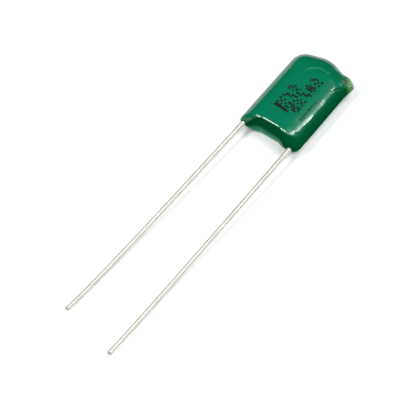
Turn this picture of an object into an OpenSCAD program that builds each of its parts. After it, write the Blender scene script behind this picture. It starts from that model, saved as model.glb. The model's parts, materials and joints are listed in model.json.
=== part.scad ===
// Dipped polyester film capacitor with two wire leads, lying on its flat face.
// Millimetres. The origin is on the face it rests on, below the centre of the
// film winding. The leads point along -Y, the closed end of the dip along +Y.

/* [Film winding] */
// Width of the flattened roll of film and foil
winding_w = 6.1; // [5:0.1:8]
// Thickness of the flattened roll
winding_t = 2.4; // [1.8:0.1:4]
// Length of the roll, along the leads
winding_h = 8.4; // [7:0.1:12]
// Height of the slit that the winding pin leaves in the middle of the roll
slit_t = 0.12; // [0.06:0.02:0.2]
// Film between the slit and each flattened wire end
slit_land = 0.5; // [0.3:0.05:0.7]
// How far the foil stops short of the film at each end of the roll
film_margin = 0.5; // [0.2:0.05:1]
// Width of the gap that the missing foil leaves between two turns of film
turn_gap = 0.08; // [0.04:0.01:0.12]
// Distance from one such gap to the next
turn_pitch = 0.2; // [0.16:0.01:0.4]

/* [Resin coat] */
// Resin over each flat face of the roll
coat_face = 0.45; // [0.3:0.05:0.8]
// Resin over each rounded side of the roll
coat_side = 0.43; // [0.35:0.01:0.8]
// How much further the left side stands out than the right
left_more = 0.14; // [0:0.02:0.3]
// Resin over the lead end of the roll, along the arch between the wires
coat_skirt = 0.75; // [0.6:0.05:1]
// How far the top of the arch reaches to the left of the middle
arch_left = 2; // [1:0.1:2.2]
// How far it reaches to the right of the middle
arch_right = 1.1; // [0.6:0.1:1.8]
// Resin over the closed end of the roll, at its corners
coat_crown = 0.6; // [0.5:0.05:1]
// How far the middle of the crown is drawn out past its corners
crown_bulge = 1.25; // [0.6:0.05:1.6]
// How far the resin creeps down the left wire past the arch
left_lobe_drop = 0.9; // [0.5:0.05:1.2]
// How far it creeps down the right wire
right_lobe_drop = 0.65; // [0.4:0.05:1.2]
// How much wider the right lobe is, on the side of the arch
right_lobe_more = 0.35; // [0:0.05:0.5]
// Resin round each wire at the end of its lobe
collar = 0.15; // [0.1:0.01:0.25]
// How far the right side runs on past the arch before it turns in to its lobe
side_drop = 0.05; // [0:0.05:0.3]
// Width of the flat face left of the middle
face_left = 2.2; // [1.6:0.05:2.5]
// Width of the flat face right of the middle, at the wires
face_right = 1.95; // [1.6:0.05:2.6]
// How much wider this side of the face is at the drained corner
face_flare = 0.5; // [0:0.05:0.6]
// How far the edge of the flat face lies past the end of the roll, at the wires
face_front_run = 0.55; // [0.3:0.05:0.7]
// How far the flat face stands back from the corners of the crown
face_crown = 1.15; // [0.8:0.05:1.6]
// How much of the face's corner falls away to the drained corner of the crown
face_fall = 0.7; // [0.4:0.05:0.9]

/* [Drained corner of the crown] */
// How far this corner stands out past the side
drip_side = 0.25; // [0.05:0.05:0.4]
// How far it stands out past the height of the other corner
drip_rise = 0.6; // [0.3:0.05:0.9]
// Width of its end
drip_w = 0.95; // [0.6:0.05:1.2]
// Distance across the crown from its tip to the notch beside it
notch_w = 1.95; // [1.5:0.05:2.3]
// Depth of that notch
notch_depth = 0.14; // [0.05:0.01:0.3]
// How far down the side it starts
drip_foot = 1.1; // [0.8:0.05:1.6]
// How thin its edge is drawn out: 1 is as full as the rest of the coat
drip_edge = 2.5; // [1:0.1:3.5]

/* [Leads] */
// Diameter of the tinned wire
wire_d = 0.5; // [0.4:0.05:0.6]
// Distance between the two wires where they leave the resin
lead_pitch = 5.83; // [5.2:0.01:6.2]
// How far the pair of wires sits off the middle of the body
lead_shift = -0.265; // [-0.3:0.005:0.3]
// Length of the left wire outside the resin
left_lead_l = 28; // [10:0.1:40]
// Length of the right wire outside the resin
right_lead_l = 29.6; // [10:0.1:40]
// Turn of the left wire away from the body's own direction, in plan
left_lead_turn = -3.3; // [-6:0.1:2]
// Turn of the right wire, in plan
right_lead_turn = -1.8; // [-6:0.1:2]
// Height of the wire tips above the surface that the part lies on
tip_clear = 0.02; // [0.01:0.01:1]
// How far inside its lobe each wire turns inward
knee_cover = 0.2; // [0.2:0.05:0.7]
// Radius of the bends, to the centre line of the wire
bend_r = 0.7; // [0.5:0.05:0.9]
// How much thicker the wire is where it was bent, on each side
bend_swell = 0.015; // [0.01:0.005:0.03]
// Distance from the side of the roll in to the middle of each flattened wire end
tab_inset = 0.7; // [0.6:0.05:1]
// Width of the flattened end of each wire
tab_w = 0.9; // [0.7:0.05:1.1]
// Thickness of the flattened end
tab_t = 0.2; // [0.12:0.02:0.3]
// Length of the flattened end
tab_l = 5; // [3:0.1:6]
// Length of round wire inside the roll before the flattened end
tab_neck = 1.4; // [1:0.1:1.8]

/* [Hidden] */
$fn = 48;

LEFT = 0;
RIGHT = 1;
winding_end = winding_h / 2;
body_t = winding_t + 2 * coat_face;
mid_z = body_t / 2;
half_w = winding_w / 2 + coat_side;
crown_y = winding_end + coat_crown;
skirt_y = -winding_end - coat_skirt;
lobe_y = [skirt_y - left_lobe_drop, skirt_y - right_lobe_drop];
lead_x = [lead_shift - lead_pitch / 2, lead_shift + lead_pitch / 2];
lead_l = [left_lead_l, right_lead_l];
lead_turn = [left_lead_turn, right_lead_turn];
tab_x = winding_w / 2 - tab_inset;
slit_w = 2 * (tab_x - tab_w / 2 - slit_land);

// Steps in each rounded corner of an outline, and in the height of the coat's wall
corner_steps = 6;
wall_steps = 14;
// Reach of the roundings along the edges beside a corner
small_round = 0.25;
side_round = 0.35;
arch_round = 0.6;
crown_round = 1.3;
shoulder_round = 1.4;
face_round = 0.4;
face_corner_round = 0.8;
tie_round = 0.1;
face_shoulder_round = 2;
// Most of an edge that the roundings at its two ends may use up
edge_share = 0.9;
// Where the flat face's edge is tied to the lobes, the arch and the notch, as shares of its half width
left_lobe_tie = 0.89;
left_arch_tie = 0.7;
right_arch_tie = 0.4;
right_lobe_ties = [0.6, 0.7];
notch_tie = 0.35;
// Fullness of the coat's wall: 1 is an ellipse, less is squarer, more is drawn out thin
plain = 1;
squared = 0.8;
drawn = 2.2;

function unit(v) = v / norm(v);

// Points of one rounded corner: a curve from the edge before it to the edge after it
function rounded(before, here, after, reach) =
    let (
        start = here + reach * unit(before - here),
        finish = here + reach * unit(after - here)
    )
    [for (i = [0 : corner_steps])
        let (t = i / corner_steps)
        (1 - t) * (1 - t) * start + 2 * t * (1 - t) * here + t * t * finish];

// Reach of a corner's rounding, kept clear of the rounding at the other end of an edge
function fitted(reach, other_reach, edge) = reach * min(1, edge_share * edge / (reach + other_reach));

// A closed outline from its corners, each given as [place, reach of its rounding]
function outline(corners) =
    let (n = len(corners))
    [for (i = [0 : n - 1])
        let (
            before = corners[(i + n - 1) % n],
            here = corners[i],
            after = corners[(i + 1) % n],
            reach = min(
                fitted(here[1], before[1], norm(before[0] - here[0])),
                fitted(here[1], after[1], norm(after[0] - here[0]))
            )
        )
        each rounded(before[0], here[0], after[0], reach)];

// One value for each point of an outline, running evenly from each corner's value to the next
function blended(values) =
    let (n = len(values))
    [for (i = [0 : n - 1], s = [0 : corner_steps])
        let (t = s / corner_steps - 0.5, other = values[(i + (t < 0 ? n - 1 : 1)) % n])
        values[i] + (other - values[i]) * abs(t)];

// The coat's corners, anticlockwise from the lead end of the right side. Each gives the
// place and rounding of the girth, the place and rounding of the flat face, and the wall's fullness.
wrap = wire_d / 2 + collar;
drip_x = half_w + drip_side;
face_front = -winding_end - face_front_run;
face_back = crown_y - face_crown;
face_flared = face_right + face_flare;
coat_corners = [
    // End of the right side
    [[half_w, skirt_y - side_drop], side_round,
     [face_right, face_front], face_corner_round, plain],
    // Foot of the drained corner
    [[half_w, crown_y - drip_foot], side_round,
     [face_flared, face_back - face_fall - drip_foot], small_round, plain],
    // Tip of the drained corner
    [[drip_x, crown_y], small_round,
     [face_flared, face_back - face_fall], small_round, drip_edge],
    // End of the drained corner
    [[drip_x - drip_w, crown_y + drip_rise], small_round,
     [face_flared - face_fall, face_back], small_round, drip_edge],
    // Notch beside it
    [[drip_x - notch_w, crown_y + drip_rise - notch_depth], small_round,
     [notch_tie * face_flared, face_back], tie_round, plain],
    // Crown
    [[0, crown_y + crown_bulge], crown_round,
     [0, face_back], tie_round, plain],
    // Rounded left corner of the crown
    [[-half_w - left_more, crown_y], shoulder_round,
     [-face_left, face_back - face_fall], face_shoulder_round, plain],
    // Lobe on the left wire
    [[lead_x[LEFT] - wrap - left_more, lobe_y[LEFT]], small_round,
     [-face_left, face_front], face_round, drawn],
    [[lead_x[LEFT] + wrap, lobe_y[LEFT]], small_round,
     [-left_lobe_tie * face_left, face_front], tie_round, drawn],
    // Arch between the wires
    [[-arch_left, skirt_y], arch_round,
     [-left_arch_tie * face_left, face_front], tie_round, squared],
    [[arch_right, skirt_y], arch_round,
     [right_arch_tie * face_right, face_front], tie_round, squared],
    // Lobe on the right wire
    [[lead_x[RIGHT] - wrap - right_lobe_more, lobe_y[RIGHT]], small_round,
     [right_lobe_ties[0] * face_right, face_front], tie_round, drawn],
    [[lead_x[RIGHT] + wrap, lobe_y[RIGHT]], small_round,
     [right_lobe_ties[1] * face_right, face_front], tie_round, drawn],
];

// The coat's outer form: curved walls from one flat face out to the girth and back to the other
module coat_form() {
    girth = outline([for (c = coat_corners) [c[0], c[1]]]);
    face = outline([for (c = coat_corners) [c[2], c[3]]]);
    fullness = blended([for (c = coat_corners) c[4]]);
    n = len(girth);
    rings = [for (k = [0 : wall_steps])
        let (a = -90 + 180 * k / wall_steps)
        [for (i = [0 : n - 1])
            let (p = face[i] + (girth[i] - face[i]) * pow(max(cos(a), 0), fullness[i]))
            [p[0], p[1], mid_z * (1 + sin(a))]]];
    walls = [for (k = [0 : wall_steps - 1], i = [0 : n - 1])
        let (j = (i + 1) % n, low = k * n, high = low + n)
        each [[low + i, high + i, high + j], [low + i, high + j, low + j]]];
    // Each flat face fans out from a point above or below the origin
    under = (wall_steps + 1) * n;
    faces = [for (i = [0 : n - 1])
        let (j = (i + 1) % n, top = wall_steps * n)
        each [[under, i, j], [under + 1, top + j, top + i]]];
    points = concat([for (ring = rings) each ring], [[0, 0, 0], [0, 0, body_t]]);
    polyhedron(points, concat(walls, faces));
}

// A flat oval section of the roll, cut in from its surface by the given depth
module roll_section(depth) {
    h = winding_t - 2 * depth;
    span = winding_w - winding_t;
    square([span, h], center = true);
    for (side = [-1, 1]) translate([side * span / 2, 0]) circle(d = h);
}

// A section drawn across the roll, run along it from y0 over the given length
module along_roll(y0, length) {
    translate([0, y0 + length, mid_z]) rotate([90, 0, 0]) linear_extrude(length) children();
}

module roll_envelope() {
    along_roll(-winding_end, winding_h) roll_section(0);
}

// The gaps between turns of film at one end of the roll
module turn_gaps(y0) {
    for (depth = [turn_pitch : turn_pitch : (winding_t - wire_d) / 2 - turn_gap])
        along_roll(y0, film_margin) difference() {
            roll_section(depth);
            roll_section(depth + turn_gap);
        }
}

module film_winding() {
    color("#c9ccc4") difference() {
        roll_envelope();
        turn_gaps(-winding_end);
        turn_gaps(winding_end - film_margin);
        translate([0, 0, mid_z]) cube([slit_w, winding_h * 2, slit_t], center = true);
        lead(LEFT);
        lead(RIGHT);
    }
}

// Places its children at a point, with their X and Z along the given directions
module placed(origin, x, z) {
    y = cross(z, x);
    multmatrix([
        [x[0], y[0], z[0], origin[0]],
        [x[1], y[1], z[1], origin[1]],
        [x[2], y[2], z[2], origin[2]],
        [0, 0, 0, 1],
    ]) children();
}

// A straight length of wire from a to b. The wires never run straight up.
module rod(a, b) {
    z = unit(b - a);
    placed(a, unit(cross([0, 0, 1], z)), z) cylinder(h = norm(b - a), d = wire_d);
}

// How far a bend reaches along the wire from its corner
function bend_reach(before, here, after) =
    let (turn = 180 - acos(unit(before - here) * unit(after - here)))
    bend_r * tan(turn / 2);

// The bend where the wire turns at a point
module bend(before, here, after) {
    u = unit(before - here);
    v = unit(after - here);
    turn = 180 - acos(u * v);
    reach = bend_reach(before, here, after);
    centre = here + unit(u + v) * bend_r / cos(turn / 2);
    x = unit(here + u * reach - centre);
    z = unit(cross(x, here + v * reach - centre));
    placed(centre, x, z) rotate_extrude(angle = turn)
        translate([bend_r, 0]) circle(r = wire_d / 2 + bend_swell);
}

// Centre line of one lead: tip, knee in the lobe, shoulder at the roll, end of the round wire
function lead_line(side) =
    let (
        drop = mid_z - wire_d / 2 - tip_clear,
        run = lead_l[side] + knee_cover,
        slope = asin(drop / run),
        knee = [lead_x[side], lobe_y[side] + knee_cover, mid_z],
        way = [sin(lead_turn[side]) * cos(slope), -cos(lead_turn[side]) * cos(slope), -sin(slope)],
        inner_x = side == LEFT ? -tab_x : tab_x
    )
    [
        knee + way * run,
        knee,
        [inner_x, -winding_end, mid_z],
        [inner_x, -winding_end + tab_neck, mid_z],
    ];

// Outline of the flattened end, from the round wire to its rounded tip
module tab_shape() {
    r = tab_w / 2;
    polygon([[-wire_d / 2, 0], [wire_d / 2, 0], [r, tab_w], [r, tab_l - r], [-r, tab_l - r], [-r, tab_w]]);
    translate([0, tab_l - r]) circle(r);
}

// The straight lengths run on a little way into each bend
module lead(side) {
    p = lead_line(side);
    seat = bend_r / 10;
    knee_reach = bend_reach(p[0], p[1], p[2]) - seat;
    shoulder_reach = bend_reach(p[1], p[2], p[3]) - seat;
    rod(p[1] + knee_reach * unit(p[0] - p[1]), p[0]);
    bend(p[0], p[1], p[2]);
    rod(p[1] + knee_reach * unit(p[2] - p[1]), p[2] + shoulder_reach * unit(p[1] - p[2]));
    bend(p[1], p[2], p[3]);
    rod(p[2] + shoulder_reach * unit(p[3] - p[2]), p[3]);
    translate([p[3][0], p[3][1] - tab_t, mid_z - tab_t / 2]) linear_extrude(tab_t) tab_shape();
}

module left_lead() {
    color("#d8d8d2") lead(LEFT);
}

module right_lead() {
    color("#d8d8d2") lead(RIGHT);
}

module epoxy_coat() {
    color("#0a7a58") difference() {
        coat_form();
        roll_envelope();
        lead(LEFT);
        lead(RIGHT);
    }
}

epoxy_coat();
film_winding();
left_lead();
right_lead();
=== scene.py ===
"""Looks of a dipped polyester film capacitor that lies on a white table.

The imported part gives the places: a film roll, the resin coat round it and two wire leads. This script
gives the coat its wavy drained skin, draws the wires, prints the face and lights the table. Lengths
and turns in the classes are millimetres and degrees, and the finished meshes are metres.
"""

import json
import logging
import math
from collections.abc import Callable, Iterable
from dataclasses import dataclass
from enum import Enum
from functools import partial

import bpy
import numpy as np
from mathutils import Matrix, Quaternion, Vector, noise
from mathutils.bvhtree import BVHTree


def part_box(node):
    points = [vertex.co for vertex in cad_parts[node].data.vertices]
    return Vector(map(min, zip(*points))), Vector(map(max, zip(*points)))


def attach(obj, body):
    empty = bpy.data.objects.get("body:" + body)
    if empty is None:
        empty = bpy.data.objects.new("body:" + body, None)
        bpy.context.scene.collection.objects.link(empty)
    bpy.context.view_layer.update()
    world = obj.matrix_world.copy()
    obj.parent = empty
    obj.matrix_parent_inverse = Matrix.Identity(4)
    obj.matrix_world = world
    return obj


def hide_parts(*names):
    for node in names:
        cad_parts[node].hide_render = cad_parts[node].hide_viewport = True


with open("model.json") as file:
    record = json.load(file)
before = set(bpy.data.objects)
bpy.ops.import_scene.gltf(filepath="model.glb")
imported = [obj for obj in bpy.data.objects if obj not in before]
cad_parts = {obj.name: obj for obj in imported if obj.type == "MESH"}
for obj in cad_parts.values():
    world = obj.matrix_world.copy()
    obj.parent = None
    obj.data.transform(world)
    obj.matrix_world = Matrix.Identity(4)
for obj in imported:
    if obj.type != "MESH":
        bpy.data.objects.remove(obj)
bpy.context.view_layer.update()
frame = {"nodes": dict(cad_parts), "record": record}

LOG = logging.getLogger("capacitor")
MM = 0.001
TINY = 1e-9
WHITE = "#ffffff"
BODY = "root"
RANGE_INPUTS = ("Value", "From Min", "From Max", "To Min", "To Max")

Pair = tuple[float, float]
NodeAdder = Callable[..., bpy.types.Node]


def to_linear(code: str) -> tuple[float, float, float, float]:
    """Turns an sRGB hex colour into the linear colour that a shader takes.

    Args:
        code: The colour as "#rrggbb".

    Returns:
        Red, green, blue and a full alpha.
    """
    parts = [int(code[i : i + 2], 16) / 255 for i in (1, 3, 5)]
    linear = [p / 12.92 if p <= 0.04045 else ((p + 0.055) / 1.055) ** 2.4 for p in parts]
    return (*linear, 1.0)


def per_metre(size: float) -> float:
    """Gives the texture scale at which a pattern repeats about once in so many millimetres."""
    return 1 / (size * MM)


def smooth_step(low: float, high: float, value: np.ndarray) -> np.ndarray:
    """Eases from 0 at low to 1 at high, with level ends."""
    t = np.clip((value - low) / (high - low), 0, 1)
    return t * t * (3 - 2 * t)


def in_use(sockets: Iterable[bpy.types.NodeSocket]) -> list[bpy.types.NodeSocket]:
    """Lists the sockets that a node's settings leave in use."""
    return [socket for socket in sockets if socket.enabled]


def feed(node: bpy.types.Node, inputs: dict[str | int, object]) -> None:
    """Sets some of a node's inputs.

    Args:
        node: The node to feed.
        inputs: For each input, by its name or its place among those in use: a value, a socket that
            feeds it, or a node that feeds it by its first output in use.
    """
    for key, value in inputs.items():
        taking = in_use(node.inputs)
        socket = taking[key] if isinstance(key, int) else next(s for s in taking if s.name == key)
        source = in_use(value.outputs)[0] if isinstance(value, bpy.types.Node) else value
        if isinstance(source, bpy.types.NodeSocket):
            node.id_data.links.new(source, socket)
        else:
            socket.default_value = source


def add_node(
    tree: bpy.types.NodeTree, kind: str, inputs: dict[str | int, object] | None = None, **settings: object
) -> bpy.types.Node:
    """Adds a node with its settings and links.

    Args:
        tree: The tree that takes the node.
        kind: Blender's name for this kind of node.
        inputs: What feeds its inputs.
        settings: The node's own options.

    Returns:
        The new node.
    """
    node = tree.nodes.new(kind)
    for name, value in settings.items():
        setattr(node, name, value)
    feed(node, inputs or {})
    return node


def new_object(name: str, mesh: bpy.types.Mesh) -> bpy.types.Object:
    """Puts a mesh into the scene.

    Args:
        name: The object's name.
        mesh: Its mesh, already in its place.

    Returns:
        An object at the origin.
    """
    made = bpy.data.objects.new(name, mesh)
    bpy.context.scene.collection.objects.link(made)
    return made


def new_growth_tree(
    name: str, inputs: dict[str, str]
) -> tuple[bpy.types.NodeTree, NodeAdder, bpy.types.NodeOutputs]:
    """Starts a geometry node tree.

    Args:
        name: The tree's name.
        inputs: The kind of socket for each named input besides the geometry.

    Returns:
        The tree, what adds a node to it, and the sockets that give its inputs.
    """
    tree = bpy.data.node_groups.new(name, "GeometryNodeTree")
    tree.interface.new_socket("Geometry", in_out="INPUT", socket_type="NodeSocketGeometry")
    tree.interface.new_socket("Geometry", in_out="OUTPUT", socket_type="NodeSocketGeometry")
    for label, kind in inputs.items():
        tree.interface.new_socket(label, in_out="INPUT", socket_type=kind)
    add = partial(add_node, tree)
    return tree, add, add("NodeGroupInput").outputs


def grown(
    name: str, seed: bpy.types.Mesh, tree: bpy.types.NodeTree, values: dict[str, object]
) -> bpy.types.Object:
    """Runs a geometry node tree on a seed mesh and keeps the result as a plain mesh.

    Args:
        name: The new piece's name.
        seed: The points or line that the tree starts from.
        tree: The tree to run.
        values: A value for each of the tree's named inputs.

    Returns:
        The finished piece, with no modifier left on it.
    """
    piece = new_object(name, seed)
    modifier = piece.modifiers.new(tree.name, "NODES")
    modifier.node_group = tree
    sockets = {s.name: s.identifier for s in tree.interface.items_tree if s.in_out == "INPUT"}
    for label, value in values.items():
        modifier[sockets[label]] = value
    graph = bpy.context.evaluated_depsgraph_get()
    mesh = bpy.data.meshes.new_from_object(
        piece.evaluated_get(graph), preserve_all_data_layers=True, depsgraph=graph
    )
    piece.modifiers.remove(modifier)
    # The seed has no material, which leaves an empty first slot.
    if mesh.materials[0] is None:
        mesh.materials.pop(index=0)
    piece.data = mesh
    mesh.name = name
    return piece


def dress(piece: bpy.types.Object, material: bpy.types.Material) -> None:
    """Gives a piece one material all over."""
    piece.data.materials.clear()
    piece.data.materials.append(material)


# Finishes


@dataclass(frozen=True)
class Finish:
    """A surface finish, drawn once as a material."""

    name: str

    def material(self) -> bpy.types.Material:
        """Makes the finish's material on its first use.

        Returns:
            The material.
        """
        made = bpy.data.materials.get(self.name)
        if made is None:
            made = bpy.data.materials.new(self.name)
            made.use_nodes = True
            feed(made.node_tree.nodes["Principled BSDF"], self.draw(partial(add_node, made.node_tree)))
        return made

    def draw(self, add: NodeAdder) -> dict[str, object]:
        """Draws the finish.

        Args:
            add: Adds a node to the material's tree.

        Returns:
            What feeds the inputs of the Principled shader.
        """
        raise NotImplementedError


@dataclass(frozen=True)
class Mottle:
    """A noise: the size of its spots, how finely it breaks up, and the span of it that runs from 0 to 1."""

    size: float
    detail: float
    span: Pair = (0.0, 1.0)


@dataclass(frozen=True)
class DippedEpoxy(Finish):
    """Filled green epoxy resin, dipped and cured, with a hard wet gloss. Its steep front and right walls and
    its crown slope are painted darker as shade, the lower front lighter as bounce light and paler at its
    foot as a reflection of the table, and a lighter line is painted along the ridge as its highlight.

    The thin drained corner lets the yellow of the bare resin through in small flecks.
    """

    name: str = "dipped_green_epoxy"
    over_roll: str = "#057f5c"
    over_roll_dim: str = "#037150"
    # A lighter green painted along the ridge as its highlight.
    ridge_painted_highlight: str = "#2c9a72"
    # A darker green painted as shade on the steep front and right walls and on the crown slope.
    shaded_wall_green: str = "#015832"
    lit_rim: str = "#118d66"
    # A pale grey green painted low on the front walls as a reflection of the table.
    foot: str = "#b4cfc2"
    thin_dark: str = "#1a5630"
    thin_middle: str = "#419358"
    thin_pale: str = "#a2cf90"
    cloud: Mottle = Mottle(3.2, 3.0, (0.3, 0.7))
    fleck: Mottle = Mottle(0.28, 2.0, (0.38, 0.6))
    grain: Mottle = Mottle(0.12, 1.0, (0.42, 0.62))
    skin_wave: Mottle = Mottle(0.5, 1.0)
    skin_height: float = 0.0016
    inner_flecks: float = 0.45
    gloss: Pair = (0.07, 0.11)
    wall_roughness: float = 0.45
    haze_roughness: float = 0.3
    thin_roughness: float = 0.34
    face_shine: float = 0.7
    wall_shine: float = 0.0
    ior: float = 1.55

    def draw(self, add: NodeAdder) -> dict[str, object]:
        """Mixes the resin's greens with painted shade, painted light, a painted reflection and a painted
        highlight, and breaks the gloss with a faint skin.

        Args:
            add: Adds a node to the material's tree.

        Returns:
            What feeds the inputs of the Principled shader.
        """
        place = add("ShaderNodeTexCoord").outputs["Object"]
        layers = ("dull", "thick", "lit_rim", "foot", "thin", "thin_outer", "ridge", "hazy")
        share = {layer: add("ShaderNodeAttribute", attribute_name=layer).outputs["Fac"] for layer in layers}
        clouds, flecks, grains, waves = (
            add("ShaderNodeTexNoise", {"Vector": place, "Scale": per_metre(m.size), "Detail": m.detail})
            for m in (self.cloud, self.fleck, self.grain, self.skin_wave)
        )

        fleck_share, grain_share = (
            add("ShaderNodeMapRange", dict(zip(RANGE_INPUTS, (spots, *mottle.span))))
            for spots, mottle in ((flecks, self.fleck), (grains, self.grain))
        )
        outward = add("ShaderNodeMapRange", {"Value": share["thin_outer"], "To Min": self.inner_flecks})
        outer_flecks = add("ShaderNodeMath", {0: fleck_share, 1: outward}, operation="MULTIPLY")
        outer_grains = add("ShaderNodeMath", {0: grain_share, 1: share["thin_outer"]}, operation="MULTIPLY")
        yellow = to_linear(self.thin_dark)
        for spots, code in ((outer_flecks, self.thin_middle), (outer_grains, self.thin_pale)):
            colours = {"Factor": spots, "A": yellow, "B": to_linear(code)}
            yellow = add("ShaderNodeMix", colours, data_type="RGBA")
        colour = to_linear(self.over_roll_dim)
        # Over the resin's own greens come painted shade on the walls and crown, painted light and a painted
        # reflection low on the front, and a painted highlight on the ridge.
        for covered, tint in (
            (clouds, to_linear(self.over_roll)),
            (share["ridge"], to_linear(self.ridge_painted_highlight)),
            (share["thick"], to_linear(self.shaded_wall_green)),
            (share["lit_rim"], to_linear(self.lit_rim)),
            (share["foot"], to_linear(self.foot)),
            (share["thin"], yellow),
        ):
            colour = add("ShaderNodeMix", {"Factor": covered, "A": colour, "B": tint}, data_type="RGBA")

        gloss = dict(zip(RANGE_INPUTS, (clouds, *self.cloud.span, *self.gloss)))
        roughness = add("ShaderNodeMapRange", gloss)
        for layer, rough in (
            ("dull", self.wall_roughness),
            ("hazy", self.haze_roughness),
            ("thin", self.thin_roughness),
        ):
            roughness = add("ShaderNodeMix", {"Factor": share[layer], "A": roughness, "B": rough})
        shine = {"Value": share["dull"], "To Min": self.face_shine, "To Max": self.wall_shine}
        return {
            "Base Color": colour,
            "Roughness": roughness,
            "Specular IOR Level": add("ShaderNodeMapRange", shine),
            "Normal": add("ShaderNodeBump", {"Height": waves, "Distance": self.skin_height * MM}),
            "IOR": self.ior,
        }


@dataclass(frozen=True)
class TinnedWire(Finish):
    """Bright tin on drawn wire: a soft metal that smears its reflections, with fine lines along it."""

    name: str = "tin_plated_wire"
    bright: str = "#f6f5ed"
    dull: str = "#d9d8cf"
    line_width: float = 0.06
    line_length: float = 3.0
    line_height: float = 0.002
    line_span: Pair = (0.3, 0.7)
    roughness: Pair = (0.6, 0.75)

    def draw(self, add: NodeAdder) -> dict[str, object]:
        """Stretches one noise along the wire for its colour, gloss and drawing lines.

        Args:
            add: Adds a node to the material's tree.

        Returns:
            What feeds the inputs of the Principled shader.
        """
        place = add("ShaderNodeTexCoord").outputs["Object"]
        across, along = per_metre(self.line_width), per_metre(self.line_length)
        drawn = add("ShaderNodeMapping", {"Vector": place, "Scale": (across, along, across)})
        lines = add("ShaderNodeTexNoise", {"Vector": drawn, "Scale": 1.0})
        colours = {"Factor": lines, "A": to_linear(self.bright), "B": to_linear(self.dull)}
        gloss = dict(zip(RANGE_INPUTS, (lines, *self.line_span, *self.roughness)))
        return {
            "Base Color": add("ShaderNodeMix", colours, data_type="RGBA"),
            "Metallic": 1.0,
            "Roughness": add("ShaderNodeMapRange", gloss),
            "Normal": add("ShaderNodeBump", {"Height": lines, "Distance": self.line_height * MM}),
        }


@dataclass(frozen=True)
class ShearedCore(Finish):
    """The cut end of the wire: a torn grey steel core with shear marks."""

    name: str = "sheared_wire_core"
    light: str = "#9a9890"
    dark: str = "#5f5d57"
    tear: float = 0.05
    tear_height: float = 0.006
    roughness: float = 0.5

    def draw(self, add: NodeAdder) -> dict[str, object]:
        """Tears the end with one coarse noise.

        Args:
            add: Adds a node to the material's tree.

        Returns:
            What feeds the inputs of the Principled shader.
        """
        place = add("ShaderNodeTexCoord").outputs["Object"]
        tears = add("ShaderNodeTexNoise", {"Vector": place, "Scale": per_metre(self.tear)})
        colours = {"Factor": tears, "A": to_linear(self.dark), "B": to_linear(self.light)}
        return {
            "Base Color": add("ShaderNodeMix", colours, data_type="RGBA"),
            "Metallic": 1.0,
            "Roughness": self.roughness,
            "Normal": add("ShaderNodeBump", {"Height": tears, "Distance": self.tear_height * MM}),
        }


@dataclass(frozen=True)
class FilmAndFoil(Finish):
    """Polyester film wound with bright foil: fine pale and silver layers that shine through the clear film.

    The real layers are some hundredths of a millimetre, and are drawn coarser so that they show.
    """

    name: str = "wound_polyester_film"
    film: str = "#d9d8cd"
    foil: str = "#aeb0b0"
    layer: float = 0.1
    waver: float = 0.4
    roughness: float = 0.28
    ior: float = 1.6

    def draw(self, add: NodeAdder) -> dict[str, object]:
        """Lays bands of film and foil through the thickness of the roll.

        Args:
            add: Adds a node to the material's tree.

        Returns:
            What feeds the inputs of the Principled shader.
        """
        place = add("ShaderNodeTexCoord").outputs["Object"]
        bands = {"Vector": place, "Scale": per_metre(self.layer) / math.tau, "Distortion": self.waver}
        layers = add("ShaderNodeTexWave", bands, bands_direction="Z").outputs["Fac"]
        colours = {"Factor": layers, "A": to_linear(self.film), "B": to_linear(self.foil)}
        return {
            "Base Color": add("ShaderNodeMix", colours, data_type="RGBA"),
            "Metallic": layers,
            "Roughness": self.roughness,
            "IOR": self.ior,
        }


@dataclass(frozen=True)
class StampInk(Finish):
    """Black marking ink: thin, so the green shows through a little, and duller than the resin under it."""

    name: str = "black_marking_ink"
    full: str = "#030a08"
    worn: str = "#0a241c"
    blot: float = 0.2
    roughness: float = 0.5
    shine: float = 0.2
    ior: float = 1.5

    def draw(self, add: NodeAdder) -> dict[str, object]:
        """Blots the ink with one noise.

        Args:
            add: Adds a node to the material's tree.

        Returns:
            What feeds the inputs of the Principled shader.
        """
        place = add("ShaderNodeTexCoord").outputs["Object"]
        blots = add("ShaderNodeTexNoise", {"Vector": place, "Scale": per_metre(self.blot)})
        colours = {"Factor": blots, "A": to_linear(self.full), "B": to_linear(self.worn)}
        return {
            "Base Color": add("ShaderNodeMix", colours, data_type="RGBA"),
            "Roughness": self.roughness,
            "Specular IOR Level": self.shine,
            "IOR": self.ior,
        }


@dataclass(frozen=True)
class WhiteTable(Finish):
    """A matt white table top, lifted to plain white for the eye and for reflections, shadows kept."""

    name: str = "white_table"
    white: str = "#f2f3f3"
    roughness: float = 0.9
    lift: float = 0.17

    def draw(self, add: NodeAdder) -> dict[str, object]:
        """Adds a little glow that only eyes and reflections see.

        Args:
            add: Adds a node to the material's tree.

        Returns:
            What feeds the inputs of the Principled shader.
        """
        path = add("ShaderNodeLightPath").outputs
        seen = path["Is Camera Ray"]
        for ray in ("Is Glossy Ray", "Is Transmission Ray"):
            seen = add("ShaderNodeMath", {0: seen, 1: path[ray]}, operation="MAXIMUM")
        return {
            "Base Color": to_linear(self.white),
            "Roughness": self.roughness,
            "Emission Color": to_linear(WHITE),
            "Emission Strength": add("ShaderNodeMath", {0: seen, 1: self.lift}, operation="MULTIPLY"),
        }


# The film roll and the leads


@dataclass(frozen=True)
class FilmRoll:
    """The flattened roll of film and foil, sealed inside the coat. Its solid is shown as it is."""

    width: float
    length: float
    thickness: float
    middle: float

    @classmethod
    def from_frame(cls) -> "FilmRoll":
        """Reads the roll's sizes from its solid.

        Returns:
            The roll.
        """
        low, high = (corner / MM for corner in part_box("film_winding"))
        size = high - low
        return cls(size.x, size.y, size.z, (low.z + high.z) / 2)

    def dress(self) -> bpy.types.Object:
        """Gives the solid its layered finish.

        Returns:
            The solid.
        """
        solid = frame["nodes"]["film_winding"]
        dress(solid, FilmAndFoil().material())
        return solid


class Side(Enum):
    """The two sides of the body, by the sign of X."""

    LEFT = -1
    RIGHT = 1


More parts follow.
